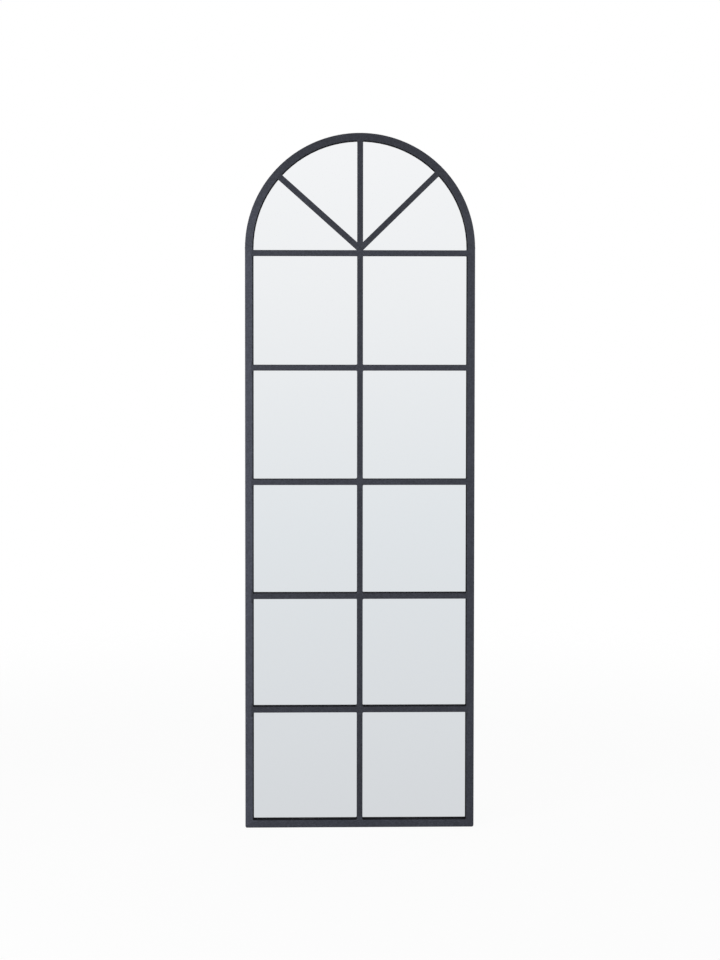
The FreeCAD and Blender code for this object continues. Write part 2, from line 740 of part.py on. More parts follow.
def make_d_ring(side_name, side):
    """A wire D-ring, hanging from the straight side that the strap holds."""
    body = new_body(f"d_ring_{side_name}")
    path = new_sketch(body, "XZ_Plane")
    half, bend = "ring_width / 2", "ring_bend_radius"
    draw_outline(path, (
        Corner("0", "0"),
        Corner(f"{half} - {bend}", "0", centre=(f"{half} - {bend}", f"-{bend}"), clockwise=True),
        Corner(half, f"-{bend}"),
        Corner(half, "-ring_side", centre=("0", "-ring_side"), clockwise=True),
        Corner(f"-{half}", "-ring_side"),
        Corner(f"-{half}", f"-{bend}", centre=(f"{bend} - {half}", f"-{bend}"), clockwise=True),
        Corner(f"{bend} - {half}", "0"),
    ))
    wire = new_sketch(body, "YZ_Plane")
    draw_circle(wire, "0", "0", "ring_wire_radius")
    doc.recompute()
    ring = body.newObject("PartDesign::AdditivePipe", f"{body.Name}_pipe")
    ring.Profile = wire
    ring.Spine = (path, [f"Edge{index}" for index in range(1, len(path.Shape.Edges) + 1)])
    place(body, x=f"{side} * tube_line", y="ring_line_y", z="ring_z", axis=ACROSS, turn="ring_rest_tilt")
    return body


def make_wall_bumper(side_name, side):
    """A round rubber bumper low on an upright's back."""
    body = new_body(f"wall_bumper_{side_name}")
    profile = new_sketch(body, "XY_Plane")
    flat, shoulder = "bumper_radius - bumper_round", "bumper_height - bumper_round"
    draw_outline(profile, (
        Corner("0", "0"),
        Corner("bumper_radius", "0"),
        Corner("bumper_radius", shoulder, centre=(flat, shoulder)),
        Corner(flat, "bumper_height"),
        Corner("0", "bumper_height"),
    ))
    turn(body, profile, 360)
    place(body, x=f"{side} * tube_line", y="tube_back_y", z="bumper_z")
    return body


# ---------------------------------------------------------------- the whole mirror

def make_pieces():
    """Every piece of the mirror, each an object whose label is its name."""
    rows = int(number("pane_rows"))
    bar_heights = [f"transom_z - {row} * bar_pitch" for row in range(rows)]
    pieces = [make_arch_tube(), make_bottom_rail()]
    pieces += [make_stile(*side) for side in SIDES]
    pieces.append(make_cross_bar("transom_bar", bar_heights[0]))
    for row, height in enumerate(bar_heights[1:], 1):
        pieces.append(make_cross_bar(f"cross_bar_{row}", height))
    pieces += [make_mullion(row) for row in range(rows)]
    arch_space, hub_space = make_arch_space(), make_hub_space()
    pieces.append(make_centre_spoke(arch_space))
    pieces += [make_side_spoke(*side, arch_space, hub_space) for side in SIDES]
    pieces += [make_mirror_glass(), make_edge_seal(), make_backing_board()]
    pieces += [make_setting_block(*side) for side in SIDES]
    pieces += [make_cross_bar_tape(bar_heights), make_mullion_tape(rows), make_spoke_tape()]
    pieces += [make_turn_button(*spot) for spot in BUTTON_PLACES]
    pieces += [make_hanger_strap(*side) for side in SIDES]
    pieces += [make_d_ring(*side) for side in SIDES]
    pieces += [make_wall_bumper(*side) for side in SIDES]
    screw = make_screw()
    button_screws = [(x, "button_screw_y", z) for _name, x, z, _axis, _angle in BUTTON_PLACES]
    pieces.append(drive_screws("turn_button_screws", screw, button_screws))
    strap_screws = []
    for _side_name, side in SIDES:
        for height in ("upper_strap_screw_z", "lower_strap_screw_z"):
            strap_screws.append((f"{side} * tube_line", "strap_screw_y", height))
    pieces.append(drive_screws("hanger_screws", screw, strap_screws))
    doc.recompute()
    return pieces


def check(pieces):
    """Stop if anything failed to build."""
    for feature in doc.Objects:
        if {"Invalid", "Error"} & set(feature.State):
            raise RuntimeError(f"{feature.Label} is {feature.State}")
    for piece in pieces:
        if piece.Shape.isNull() or not piece.Shape.isValid() or not piece.Shape.Solids:
            raise RuntimeError(f"{piece.Label} has no sound solid")


def write(pieces):
    """One STEP file a piece, under its name."""
    os.makedirs("parts", exist_ok=True)
    for piece in pieces:
        piece.Shape.exportStep(f"parts/{piece.Label}.step")
        box = piece.Shape.BoundBox
        low, high = (box.XMin, box.YMin, box.ZMin), (box.XMax, box.YMax, box.ZMax)
        extent = " ".join(f"{a:.1f}..{b:.1f}" for a, b in zip(low, high))
        print(f"{piece.Label}: {len(piece.Shape.Solids)} solid, {piece.Shape.Volume:.0f} mm3, {extent}")


mirror_pieces = make_pieces()
check(mirror_pieces)
write(mirror_pieces)
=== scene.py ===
"""Arched window mirror: finishes, dressed welds and studio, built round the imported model.

Sizes are in metres, in the model's frame: X across, -Y towards the viewer, +Y towards the wall,
Z up.
"""
import logging
import math
from contextlib import contextmanager
from dataclasses import dataclass, field
from enum import Enum, unique
from typing import Any, Iterable, Iterator, Sequence

import bmesh
import bpy
from mathutils import Matrix, Vector


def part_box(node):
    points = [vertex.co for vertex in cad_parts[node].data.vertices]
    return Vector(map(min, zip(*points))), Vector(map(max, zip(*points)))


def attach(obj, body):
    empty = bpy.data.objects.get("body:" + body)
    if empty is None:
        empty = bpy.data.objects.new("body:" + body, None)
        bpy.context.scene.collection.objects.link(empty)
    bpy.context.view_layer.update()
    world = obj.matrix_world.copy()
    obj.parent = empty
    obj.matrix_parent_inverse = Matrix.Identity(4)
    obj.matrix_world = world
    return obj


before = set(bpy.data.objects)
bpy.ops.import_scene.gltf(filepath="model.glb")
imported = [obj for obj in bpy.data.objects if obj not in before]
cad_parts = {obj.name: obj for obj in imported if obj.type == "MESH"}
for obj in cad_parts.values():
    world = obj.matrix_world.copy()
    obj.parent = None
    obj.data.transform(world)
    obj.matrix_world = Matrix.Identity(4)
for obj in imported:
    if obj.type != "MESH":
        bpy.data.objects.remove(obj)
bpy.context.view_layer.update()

Colour = tuple[float, float, float]
FRAME_BODY = "frame"
# The Mix node's sockets for colours, by place, because their names repeat for each kind of data.
MIX_FACTOR, MIX_FIRST, MIX_SECOND, MIX_RESULT = 0, 6, 7, 2
# Two places closer than this are one.
SAME_PLACE = 0.00001
# The share of an edge's length that has to run along an axis for the edge to count as along it.
ALONG_AXIS = 0.9
log = logging.getLogger("arched_window_mirror")


# ---------------------------------------------------------------- shader graphs

class Socket:
    """An output of a node. Arithmetic on it adds Math nodes."""

    def __init__(self, graph: "Graph", output: bpy.types.NodeSocket) -> None:
        """Wrap one output of a graph's node."""
        self.graph = graph
        self.output = output

    def _maths(self, operation: str, *values: Any, clamp: bool = False) -> "Socket":
        """Add one Math node.

        Args:
            operation: The Math node's operation.
            values: Its inputs in order, sockets or numbers.
            clamp: Whether the result is held between 0 and 1.

        Returns:
            The node's result.
        """
        settings = {"operation": operation, "use_clamp": clamp}
        return self.graph.node("ShaderNodeMath", settings, dict(enumerate(values)))

    def __add__(self, other: Any) -> "Socket":
        """Return self + other."""
        return self._maths("ADD", self, other)

    def __radd__(self, other: Any) -> "Socket":
        """Return other + self."""
        return self._maths("ADD", other, self)

    def __sub__(self, other: Any) -> "Socket":
        """Return self - other."""
        return self._maths("SUBTRACT", self, other)

    def __rsub__(self, other: Any) -> "Socket":
        """Return other - self."""
        return self._maths("SUBTRACT", other, self)

    def __mul__(self, other: Any) -> "Socket":
        """Return self * other."""
        return self._maths("MULTIPLY", self, other)

    def __rmul__(self, other: Any) -> "Socket":
        """Return other * self."""
        return self._maths("MULTIPLY", other, self)

    def __pow__(self, other: Any) -> "Socket":
        """Return self to the power of other."""
        return self._maths("POWER", self, other)

    def __abs__(self) -> "Socket":
        """Return the size of self, without its sign."""
        return self._maths("ABSOLUTE", self)

    def larger(self, other: Any) -> "Socket":
        """Return the larger of self and other."""
        return self._maths("MAXIMUM", self, other)

    def held(self) -> "Socket":
        """Return self held between 0 and 1."""
        return self._maths("ADD", self, 0.0, clamp=True)

    def between(self, low: float, high: float) -> "Socket":
        """Return a smooth step.

        Args:
            low: Where the step is 0.
            high: Where the step is 1, above or below low.

        Returns:
            0 to 1 as self goes from low to high.
        """
        settings = {"interpolation_type": "SMOOTHSTEP", "clamp": True}
        ends = {"From Min": low, "From Max": high, "To Min": 0.0, "To Max": 1.0}
        if low > high:
            ends.update({"From Min": high, "From Max": low, "To Min": 1.0, "To Max": 0.0})
        values = {"Value": self, **ends}
        return self.graph.node("ShaderNodeMapRange", settings, values, "Result")


class Graph:
    """One material's or world's node tree, emptied, with short ways to add to it."""

    def __init__(self, owner: bpy.types.Material | bpy.types.World) -> None:
        """Empty the owner's node tree and keep it.

        Args:
            owner: The material or world that the tree belongs to.
        """
        owner.use_nodes = True
        self.tree = owner.node_tree
        self.tree.nodes.clear()

    def node(self, kind: str, settings: dict[str, Any] | None = None,
             values: dict[str | int, Any] | None = None, output: str | int = 0) -> Socket:
        """Add a node.

        Args:
            kind: The node's type.
            settings: Its own settings, set first. "stops" gives a colour ramp's stops.
            values: Numbers, colours or sockets for its inputs, by name or place.
            output: The output to hand back, by name or place.

        Returns:
            That output.
        """
        made = self.tree.nodes.new(kind)
        for name, setting in (settings or {}).items():
            if name == "stops":
                self._set_stops(made.color_ramp, setting)
            else:
                setattr(made, name, setting)
        for name, value in (values or {}).items():
            if isinstance(value, Socket):
                self.tree.links.new(value.output, made.inputs[name])
            elif isinstance(value, tuple) and len(value) == 3 and made.inputs[name].type == "RGBA":
                made.inputs[name].default_value = (*value, 1.0)
            else:
                made.inputs[name].default_value = value
        return Socket(self, made.outputs[output])

    @staticmethod
    def _set_stops(ramp: bpy.types.ColorRamp, stops: Sequence[tuple[float, Colour]]) -> None:
        """Give a ramp its stops.

        Args:
            ramp: The colour ramp.
            stops: Each stop's position and colour, in order.
        """
        while len(ramp.elements) < len(stops):
            ramp.elements.new(0.5)
        for element, (position, colour) in zip(ramp.elements, stops):
            element.position = position
            element.color = (*colour, 1.0)

    def place(self) -> Socket:
        """The point on the object, in metres."""
        return self.node("ShaderNodeTexCoord", output="Object")

    def axes(self, point: Socket) -> tuple[Socket, Socket, Socket]:
        """A point's x, y and z."""
        split = self.node("ShaderNodeSeparateXYZ", values={0: point}).output.node
        return tuple(Socket(self, output) for output in split.outputs)

    def stretched(self, point: Socket, scale: Colour) -> Socket:
        """A point with its axes scaled."""
        return self.node("ShaderNodeMapping", values={"Vector": point, "Scale": scale})

    def noise(self, point: Socket, scale: float, detail: float = 2.0,
              roughness: float = 0.5) -> Socket:
        """Soft noise about 0.5.

        Args:
            point: Where it is read.
            scale: Waves in a metre.
            detail: Octaves.
            roughness: How strong the finer octaves are.

        Returns:
            The noise, from 0 to 1.
        """
        values = {"Vector": point, "Scale": scale, "Detail": detail, "Roughness": roughness}
        return self.node("ShaderNodeTexNoise", values=values)

    def cells(self, point: Socket, scale: float) -> Socket:
        """Distance to the nearest of scattered points, in cells."""
        values = {"Vector": point, "Scale": scale}
        return self.node("ShaderNodeTexVoronoi", values=values, output="Distance")

    def mix(self, factor: Any, first: Any, second: Any) -> Socket:
        """A colour between two.

        Args:
            factor: 0 for the first, 1 for the second.
            first: A colour or socket.
            second: A colour or socket.

        Returns:
            The mixed colour.
        """
        values = {MIX_FACTOR: factor, MIX_FIRST: first, MIX_SECOND: second}
        return self.node("ShaderNodeMix", {"data_type": "RGBA"}, values, MIX_RESULT)

    def shade(self, colour: Any, amount: Socket) -> Socket:
        """A colour made darker or lighter.

        Args:
            colour: The colour or socket.
            amount: What it is multiplied by, about 1.

        Returns:
            The shaded colour.
        """
        grey = self.node("ShaderNodeCombineColor", values={0: amount, 1: amount, 2: amount})
        settings = {"data_type": "RGBA", "blend_type": "MULTIPLY"}
        values = {MIX_FACTOR: 1.0, MIX_FIRST: colour, MIX_SECOND: grey}
        return self.node("ShaderNodeMix", settings, values, MIX_RESULT)

    def bump(self, height: Socket, distance: float, strength: float = 1.0) -> Socket:
        """A normal that follows a height, in metres at full height."""
        values = {"Height": height, "Distance": distance, "Strength": strength}
        return self.node("ShaderNodeBump", values=values)

    def finish(self, shader: Socket, kind: str = "ShaderNodeOutputMaterial") -> None:
        """Send a shader to the tree's output."""
        made = self.tree.nodes.new(kind)
        self.tree.links.new(shader.output, made.inputs["Surface"])


# ---------------------------------------------------------------- finishes

@dataclass(frozen=True)
class Finish:
    """What every finish has: a name and the record's slot that it belongs to."""

    name: str
    slot: str

    def paint(self, graph: Graph) -> Socket:
        """Build the finish's shader."""
        raise NotImplementedError

    def material(self) -> bpy.types.Material:
        """Make the finish's material, or find it if it is made already.

        Returns:
            The material.
        """
        found = bpy.data.materials.get(self.name)
        if found is None:
            found = bpy.data.materials.new(self.name)
            graph = Graph(found)
            graph.finish(self.paint(graph))
        return found

    def dress(self, piece: bpy.types.Object) -> None:
        """Put the finish on a piece, in place of what it had.

        Args:
            piece: The piece to dress.
        """
        if not piece.material_slots:
            piece.data.materials.append(self.material())
        for slot in piece.material_slots:
            slot.material = self.material()


@dataclass(frozen=True)
class PowderCoat(Finish):
    """Satin charcoal powder coat, softly mottled, with shade painted into the recess before the
    glass.

    The sizes from front to sill say where that recess lies in the model. The painted shade, a
    near-black matt shader mixed in there, sets in over edge_fade outside the opening and over
    front_fade behind the front, and ends over glass_fade behind the glass's face.
    """

    slot: str = "black_powder_coat"
    colour: Colour = (0.0370, 0.0398, 0.0525)
    tone: float = 1.0
    darkest: float = 0.12
    # Painted light: the arch's tones at its left and right feet, lighter than at its darker crown.
    foot_light_tones: tuple[float, float] | None = None
    crown_half: float = 0.05
    foot_fade: tuple[float, float] = (0.27, 0.03)
    cloud_scale: float = 9.0
    mottle_scale: float = 260.0
    fleck_scale: float = 900.0
    peel_scale: float = 760.0
    peel_height: float = 0.00026
    wave_scale: float = 230.0
    weld_waviness: float = 0.0
    # Painted shade: the near-black colour mixed over the recess, and how much of it the recess
    # takes.
    painted_shade_colour: Colour = (0.0066, 0.0068, 0.0098)
    painted_shade_share: float = 0.94
    front: float = -0.0100
    glass: float = 0.0030
    half_opening: float = 0.280
    springing: float = 1.520
    sill: float = 0.020
    edge_fade: tuple[float, float] = (0.0018, 0.0004)
    front_fade: tuple[float, float] = (0.0003, 0.0013)
    glass_fade: float = 0.002
    head_fade: float = 0.001

    def recess_shade_mask(self, graph: Graph, point: Socket) -> Socket:
        """Tell how deep in the recess between frame, bars and glass, where shade is painted, a
        point lies.

        Args:
            graph: The material's graph.
            point: The point on the object.

        Returns:
            0 outside the recess, 1 in it.
        """
        x, y, z = graph.axes(point)
        starts, full = self.edge_fade
        near, far = self.front_fade
        arch = (x * x + (z - self.springing) ** 2.0) ** 0.5
        head = z.between(self.springing - self.head_fade, self.springing + self.head_fade)
        out = arch * head + abs(x) * (1.0 - head)
        inside = out.between(self.half_opening + starts, self.half_opening + full)
        above = z.between(self.sill - starts, self.sill - full)
        behind = y.between(self.front + near, self.front + far)
        depth = behind * y.between(self.glass + self.glass_fade, self.glass)
        return depth * inside * above

    def level(self, graph: Graph, point: Socket) -> Any:
        """Give the coat's tone of painted light and shade, which on the arch runs over from its
        crown's to its two feet's.

        Args:
            graph: The material's graph.
            point: The point on the object.

        Returns:
            The tone, as a number where it is even, and as a socket on the arch.
        """
        if self.foot_light_tones is None:
            return self.tone
        x, _y, z = graph.axes(point)
        left, right = self.foot_light_tones
        starts, full = self.foot_fade
        foot = x.between(-self.crown_half, self.crown_half) * (right - left) + left
        low = z.between(self.springing + starts, self.springing + full)
        return low * (foot - self.tone) + self.tone

    def paint(self, graph: Graph) -> Socket:
        """Build the coat: colour mottle, orange peel and the shade painted into the recess.

        Args:
            graph: The material's graph.

        Returns:
            The coat's shader.
        """
        point = graph.place()
        recess_shade_mask = self.recess_shade_mask(graph, point)
        clouds = graph.noise(point, self.cloud_scale, 2.0)
        mottle = graph.noise(point, self.mottle_scale, 3.0, 0.62)
        fleck = graph.noise(point, self.fleck_scale, 1.0)
        uneven = (clouds - 0.5) * 0.24 + (mottle - 0.5) * 1.5 + (fleck - 0.5) * 0.8
        tone = ((1.0 + uneven) * self.level(graph, point)).larger(self.darkest)
        colour = graph.shade(self.colour, tone)
        peel = graph.noise(point, self.peel_scale, 2.0, 0.55)
        height = peel * 0.6 + mottle * 0.4
        normal = graph.bump(height, self.peel_height, 0.6)
        if self.weld_waviness:
            wave = graph.noise(point, self.wave_scale, 1.0)
            normal = graph.node("ShaderNodeBump", values={
                "Height": wave, "Distance": self.weld_waviness, "Strength": 0.6,
                "Normal": normal})
        rough = 0.40 + mottle * 0.12 + fleck * 0.06
        coat = graph.node("ShaderNodeBsdfPrincipled", values={
            "Base Color": colour, "Roughness": rough, "Specular IOR Level": 0.20,
            "Normal": normal})
        # Painted shade: a near-black matt shader mixed in over the recess, where shade falls.
        painted_shade_bsdf = graph.node("ShaderNodeBsdfPrincipled", values={
            "Base Color": self.painted_shade_colour, "Roughness": 0.9, "Specular IOR Level": 0.05,
            "Normal": normal})
        values = {0: recess_shade_mask * self.painted_shade_share, 1: coat, 2: painted_shade_bsdf}
        return graph.node("ShaderNodeMixShader", values=values)


@dataclass(frozen=True)
class SilveredGlass(Finish):
    """Float glass, silvered behind: a cool clear mirror with float glass's faint wave."""

    slot: str = "silvered_glass"
    colour: Colour = (0.925, 0.942, 0.938)
    haze_scale: float = 2.2
    dust_scale: float = 160.0
    wave_scale: float = 5.0
    wave_height: float = 0.0004

    def paint(self, graph: Graph) -> Socket:
        """Build the mirror, with a trace of wiping haze and of the sheet's wave.

        Args:
            graph: The material's graph.

        Returns:
            The glass's shader.
        """
        point = graph.place()
        haze = graph.noise(graph.stretched(point, (3.0, 3.0, 1.2)), self.haze_scale, 3.0)
        dust = graph.cells(point, self.dust_scale).between(0.10, 0.04)
        wave = graph.noise(graph.stretched(point, (1.0, 1.0, 0.35)), self.wave_scale, 1.0)
        shaded = graph.shade(self.colour, 0.992 + haze * 0.012 - dust * 0.010)
        return graph.node("ShaderNodeBsdfPrincipled", values={
            "Base Color": shaded, "Metallic": 1.0,
            "Roughness": 0.012 + haze * 0.014 + dust * 0.05,
            "Coat Weight": 0.25, "Coat Roughness": 0.0, "Coat IOR": 1.52,
            "Normal": graph.bump(wave, self.wave_height, 0.25)})


@dataclass(frozen=True)
class Fibreboard(Finish):
    """Thin brown fibreboard: matted fibres, a few darker bundles and a scuffed face."""

    slot: str = "fibreboard"
    colour: Colour = (0.315, 0.205, 0.118)
    dark: Colour = (0.145, 0.088, 0.048)
    fibre_scale: float = 900.0
    crossing_scale: float = 700.0
    cloud_scale: float = 6.0
    bundle_scale: float = 520.0
    speck_scale: float = 430.0
    fibre_height: float = 0.00030

    def paint(self, graph: Graph) -> Socket:
        """Build the board's matted face.

        Args:
            graph: The material's graph.

        Returns:
            The board's shader.
        """
        point = graph.place()
        upright = graph.stretched(point, (1.0, 1.0, 0.30))
        level = graph.stretched(point, (0.25, 1.0, 1.0))
        long = graph.stretched(point, (1.0, 1.0, 0.28))
        matted = graph.noise(upright, self.fibre_scale, 4.0, 0.7)
        crossed = graph.noise(level, self.crossing_scale, 4.0, 0.7)
        clouds = graph.noise(point, self.cloud_scale, 3.0)
        bundle = graph.noise(long, self.bundle_scale, 2.0).between(0.62, 0.74)
        speck = graph.cells(point, self.speck_scale).between(0.16, 0.07)
        fibre = (matted + crossed) * 0.5
        colour = graph.mix((bundle * 0.55 + speck * 0.5).held(), self.colour, self.dark)
        colour = graph.shade(colour, 0.55 + fibre * 0.62 + clouds * 0.30)
        return graph.node("ShaderNodeBsdfPrincipled", values={
            "Base Color": colour, "Roughness": 0.74 + fibre * 0.2, "Specular IOR Level": 0.25,
            "Normal": graph.bump(fibre + bundle * 0.3, self.fibre_height, 0.5)})


@dataclass(frozen=True)
class Foam(Finish):
    """Black closed-cell foam tape, with fine open pores on its cut edges."""

    slot: str = "foam_tape"
    colour: Colour = (0.011, 0.011, 0.012)
    pore_scale: float = 1900.0
    pore_height: float = 0.00012

    def paint(self, graph: Graph) -> Socket:
        """Build the foam.

        Args:
            graph: The material's graph.

        Returns:
            The foam's shader.
        """
        point = graph.place()
        pores = graph.cells(point, self.pore_scale).between(0.1, 0.5)
        colour = graph.shade(self.colour, 0.6 + pores * 0.6)
        return graph.node("ShaderNodeBsdfPrincipled", values={
            "Base Color": colour, "Roughness": 0.93, "Specular IOR Level": 0.2,
            "Normal": graph.bump(pores, self.pore_height, 0.6)})


@dataclass(frozen=True)
class Rubber(Finish):
    """Moulded black rubber, matt, with a little dust on it."""

    slot: str = "black_rubber"
    colour: Colour = (0.017, 0.017, 0.018)
    dust: Colour = (0.085, 0.082, 0.078)
    grain_scale: float = 2400.0
    grain_height: float = 0.00008
    dust_scale: float = 190.0

    def paint(self, graph: Graph) -> Socket:
        """Build the rubber.

        Args:
            graph: The material's graph.

        Returns:
            The rubber's shader.
        """
        point = graph.place()
        grain = graph.noise(point, self.grain_scale, 2.0, 0.6)
        dusty = graph.noise(point, self.dust_scale, 3.0).between(0.52, 0.78)
        colour = graph.mix(dusty * 0.30, self.colour, self.dust)
        return graph.node("ShaderNodeBsdfPrincipled", values={
            "Base Color": colour, "Roughness": 0.60 + grain * 0.16 + dusty * 0.14,
            "Normal": graph.bump(grain, self.grain_height, 0.5)})


@dataclass(frozen=True)
class ZincPlate(Finish):
    """Bright zinc plating on pressed steel: grey spangle, fine scuffs and a trace of yellow."""

    slot: str = "zinc_plate"
    colour: Colour = (0.56, 0.575, 0.60)
    warm: Colour = (0.60, 0.565, 0.47)
    spangle_scale: float = 420.0
    warmth_scale: float = 70.0
    scuff_scale: float = 2600.0
    relief: float = 0.00006

    def paint(self, graph: Graph) -> Socket:
        """Build the plating.

        Args:
            graph: The material's graph.

        Returns:
            The plating's shader.
        """
        point = graph.place()
        spangle = graph.noise(point, self.spangle_scale, 3.0, 0.6)
        warmth = graph.noise(point, self.warmth_scale, 2.0).between(0.50, 0.80)
        rubbed = graph.stretched(point, (0.12, 1.0, 1.0))
        scuff = graph.noise(rubbed, self.scuff_scale, 2.0, 0.7)
        colour = graph.mix(warmth * 0.55, self.colour, self.warm)
        colour = graph.shade(colour, 0.72 + spangle * 0.36 + scuff * 0.14)
        return graph.node("ShaderNodeBsdfPrincipled", values={
            "Base Color": colour, "Metallic": 1.0,
            "Roughness": 0.24 + spangle * 0.18 + scuff * 0.12,
            "Normal": graph.bump(spangle * 0.5 + scuff * 0.5, self.relief, 0.5)})


# ---------------------------------------------------------------- the modelling bench

class Bench:
    """The modelling moves that the dressed welds share."""

    @staticmethod
    def pick(piece: bpy.types.Object | None = None) -> None:
        """Deselect everything, then select and activate one piece.

        Args:
            piece: The piece, or None to leave nothing selected.
        """
        if bpy.context.mode != "OBJECT":
            bpy.ops.object.mode_set(mode="OBJECT")
        bpy.ops.object.select_all(action="DESELECT")
        if piece is not None:
            piece.select_set(True)
            bpy.context.view_layer.objects.active = piece

    @staticmethod
    @contextmanager
    def edges(piece: bpy.types.Object) -> Iterator[bmesh.types.BMesh]:
        """Open a piece in edit mode with nothing selected, and close it again.

        Args:
            piece: The piece to edit.

        Yields:
            Its mesh, open for editing.
        """
        Bench.pick(piece)
        bpy.ops.object.mode_set(mode="EDIT")
        bpy.ops.mesh.select_mode(type="EDGE")
        bpy.ops.mesh.select_all(action="DESELECT")
        yield bmesh.from_edit_mesh(piece.data)
        bpy.ops.object.mode_set(mode="OBJECT")

    @staticmethod
    def slab(name: str, along: tuple[float, float], across: tuple[float, float],
             depth: tuple[float, float], about: tuple[float, float] = (0.0, 0.0),
             lean: float = 0.0) -> bpy.types.Object:
        """A slab seen from the front, laid off from a point along a direction.

        Args:
            name: The slab's name.
            along: Its start and end along the direction.
            across: Its two sides, across the direction.
            depth: Its front and back y.
            about: The point's x and z.
            lean: The direction's angle above +X, in radians.

        Returns:
            The slab, its place in its mesh.
        """
        Bench.pick()
        bpy.ops.mesh.primitive_cube_add(size=1.0)
        piece = bpy.context.object
        piece.name = piece.data.name = name
        spans = (along, depth, across)
        middle = Vector([(low + high) / 2 for low, high in spans])
        turned = Matrix.Rotation(-lean, 4, "Y")
        piece.scale = [high - low for low, high in spans]
        piece.rotation_euler = (0.0, -lean, 0.0)
        piece.location = turned @ middle + Vector((about[0], 0.0, about[1]))
        bpy.ops.object.transform_apply(location=True, rotation=True, scale=True)
        return piece

    @staticmethod
    def unite(name: str, parts: Sequence[bpy.types.Object]) -> bpy.types.Object:
        """Join overlapping slabs into one closed shape.

        Args:
            name: The shape's name.
            parts: The slabs. The first becomes the shape and the rest are used up.

        Returns:
            The shape.
        """
        whole, rest = parts[0], parts[1:]
        for part in rest:
            Bench.pick(whole)
            union = whole.modifiers.new("union", "BOOLEAN")
            union.operation = "UNION"
            union.solver = "EXACT"
            union.object = part
            bpy.ops.object.modifier_apply(modifier=union.name)
            bpy.data.objects.remove(part)
        with Bench.edges(whole):
            bpy.ops.mesh.select_all(action="SELECT")
            bpy.ops.mesh.remove_doubles(threshold=SAME_PLACE)
            bpy.ops.mesh.dissolve_limited(angle_limit=0.002)
        whole.name = whole.data.name = name
        return whole

    @staticmethod
    def round_inside_corners(piece: bpy.types.Object, radius: float) -> None:
        """Fill the corners between bars with a hollow weld fillet.

        Args:
            piece: The weld.
            radius: The fillet's radius.
        """
        with Bench.edges(piece) as mesh:
            for edge in mesh.edges:
                a, b = (vertex.co for vertex in edge.verts)
                runs_back = abs(a.y - b.y) > ALONG_AXIS * (a - b).length
                edge.select_set(runs_back and edge.is_manifold and not edge.is_convex)
            bmesh.update_edit_mesh(piece.data)
            bpy.ops.mesh.bevel(offset=radius, segments=7, profile=0.5, affect="EDGES",
                               clamp_overlap=True)

    @staticmethod
    def roll_front_edges(piece: bpy.types.Object, radius: float, front: float) -> None:
        """Round the edges round the front face, as the tube's own edges are.

        Args:
            piece: The weld.
            radius: The radius of the rolled edges.
            front: The front face's y.
        """
        with Bench.edges(piece) as mesh:
            for edge in mesh.edges:
                at_front = all(abs(vertex.co.y - front) < SAME_PLACE for vertex in edge.verts)
                sides = [face for face in edge.link_faces if abs(face.normal.y) < 0.5]
                edge.select_set(at_front and bool(sides))
            bmesh.update_edit_mesh(piece.data)
            bpy.ops.mesh.bevel(offset=radius, segments=5, profile=0.5, affect="EDGES",
                               clamp_overlap=True)

    @staticmethod
    def close_up(piece: bpy.types.Object) -> None:
        """Merge doubles, face outwards and shade smoothly over rounded edges.

        Args:
            piece: The piece to finish.
        """
        with Bench.edges(piece):
            bpy.ops.mesh.select_all(action="SELECT")
            bpy.ops.mesh.remove_doubles(threshold=SAME_PLACE / 2)
            bpy.ops.mesh.normals_make_consistent(inside=False)
        Bench.pick(piece)
        bpy.ops.object.shade_smooth_by_angle(angle=math.radians(35))


# ---------------------------------------------------------------- the mirror's sub-assemblies

@dataclass
class SubAssembly:
    """A sub-assembly: it dresses the model's own nodes and may add pieces of its own."""

    pieces: list[bpy.types.Object] = field(default_factory=list)

    def wear(self, finish: Finish, names: Iterable[str]) -> None:
        """Dress some of the model's nodes in a finish.

        Args:
            finish: The finish.
            names: The nodes' names.
        """
        for name in names:
            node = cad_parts[name]
            finish.dress(node)
            self.pieces.append(node)

    def add(self, piece: bpy.types.Object, finish: Finish, body: str = FRAME_BODY) -> None:
        """Dress a new piece, and let it ride with a body.

        Args:
            piece: The new piece.
            finish: Its finish.
            body: The body that it moves with.
        """
        finish.dress(piece)
        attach(piece, body)
        self.pieces.append(piece)

    def build(self) -> None:
        """Make and dress everything in the sub-assembly."""
        raise NotImplementedError

    def report(self) -> None:
        """Log each piece with its finish."""
        for piece in self.pieces:
            worn = piece.material_slots[0].material.name
            log.info("%s: %s in %s", type(self).__name__, piece.name, worn)


@unique
class PaintedLightTone(Enum):
    """Painted light and shade: each frame part lighter or darker as light falls on it; no two
    alike.
    """

    ARCH = 0.74
    LEFT = 1.38
    RIGHT = 0.97
    RAIL = 1.08
    HIGH_BARS = 0.94
    LOW_BARS = 0.84
    UPRIGHTS = 0.78


